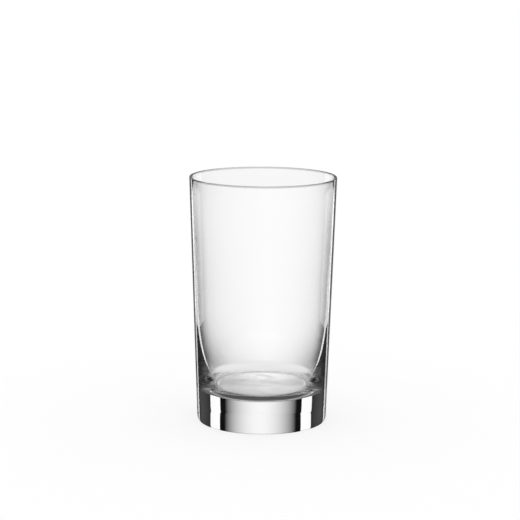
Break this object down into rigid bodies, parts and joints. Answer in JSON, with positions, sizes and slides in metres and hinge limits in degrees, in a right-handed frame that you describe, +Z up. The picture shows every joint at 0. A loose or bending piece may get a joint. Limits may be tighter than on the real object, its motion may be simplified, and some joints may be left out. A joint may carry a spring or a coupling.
{
  "type": "juice glass",
  "caption": "Clear glass tumbler for juice: gently flared straight sides, a thick solid base with a rounded inner floor, and a smooth rounded rim.",
  "frame": {"origin": "centre of the foot, on the plane of the table that the glass stands on", "axes": "+Z up along the axis of the glass; the glass is round, so X and Y are free"},
  "size_m": [0.06, 0.06, 0.101],
  "materials": {
    "clear_glass": "clear polished"
  },
  "bodies": {
    "root": {"heavy_base": "clear_glass", "side_wall": "clear_glass", "rim": "clear_glass"}
  },
  "joints": []
}
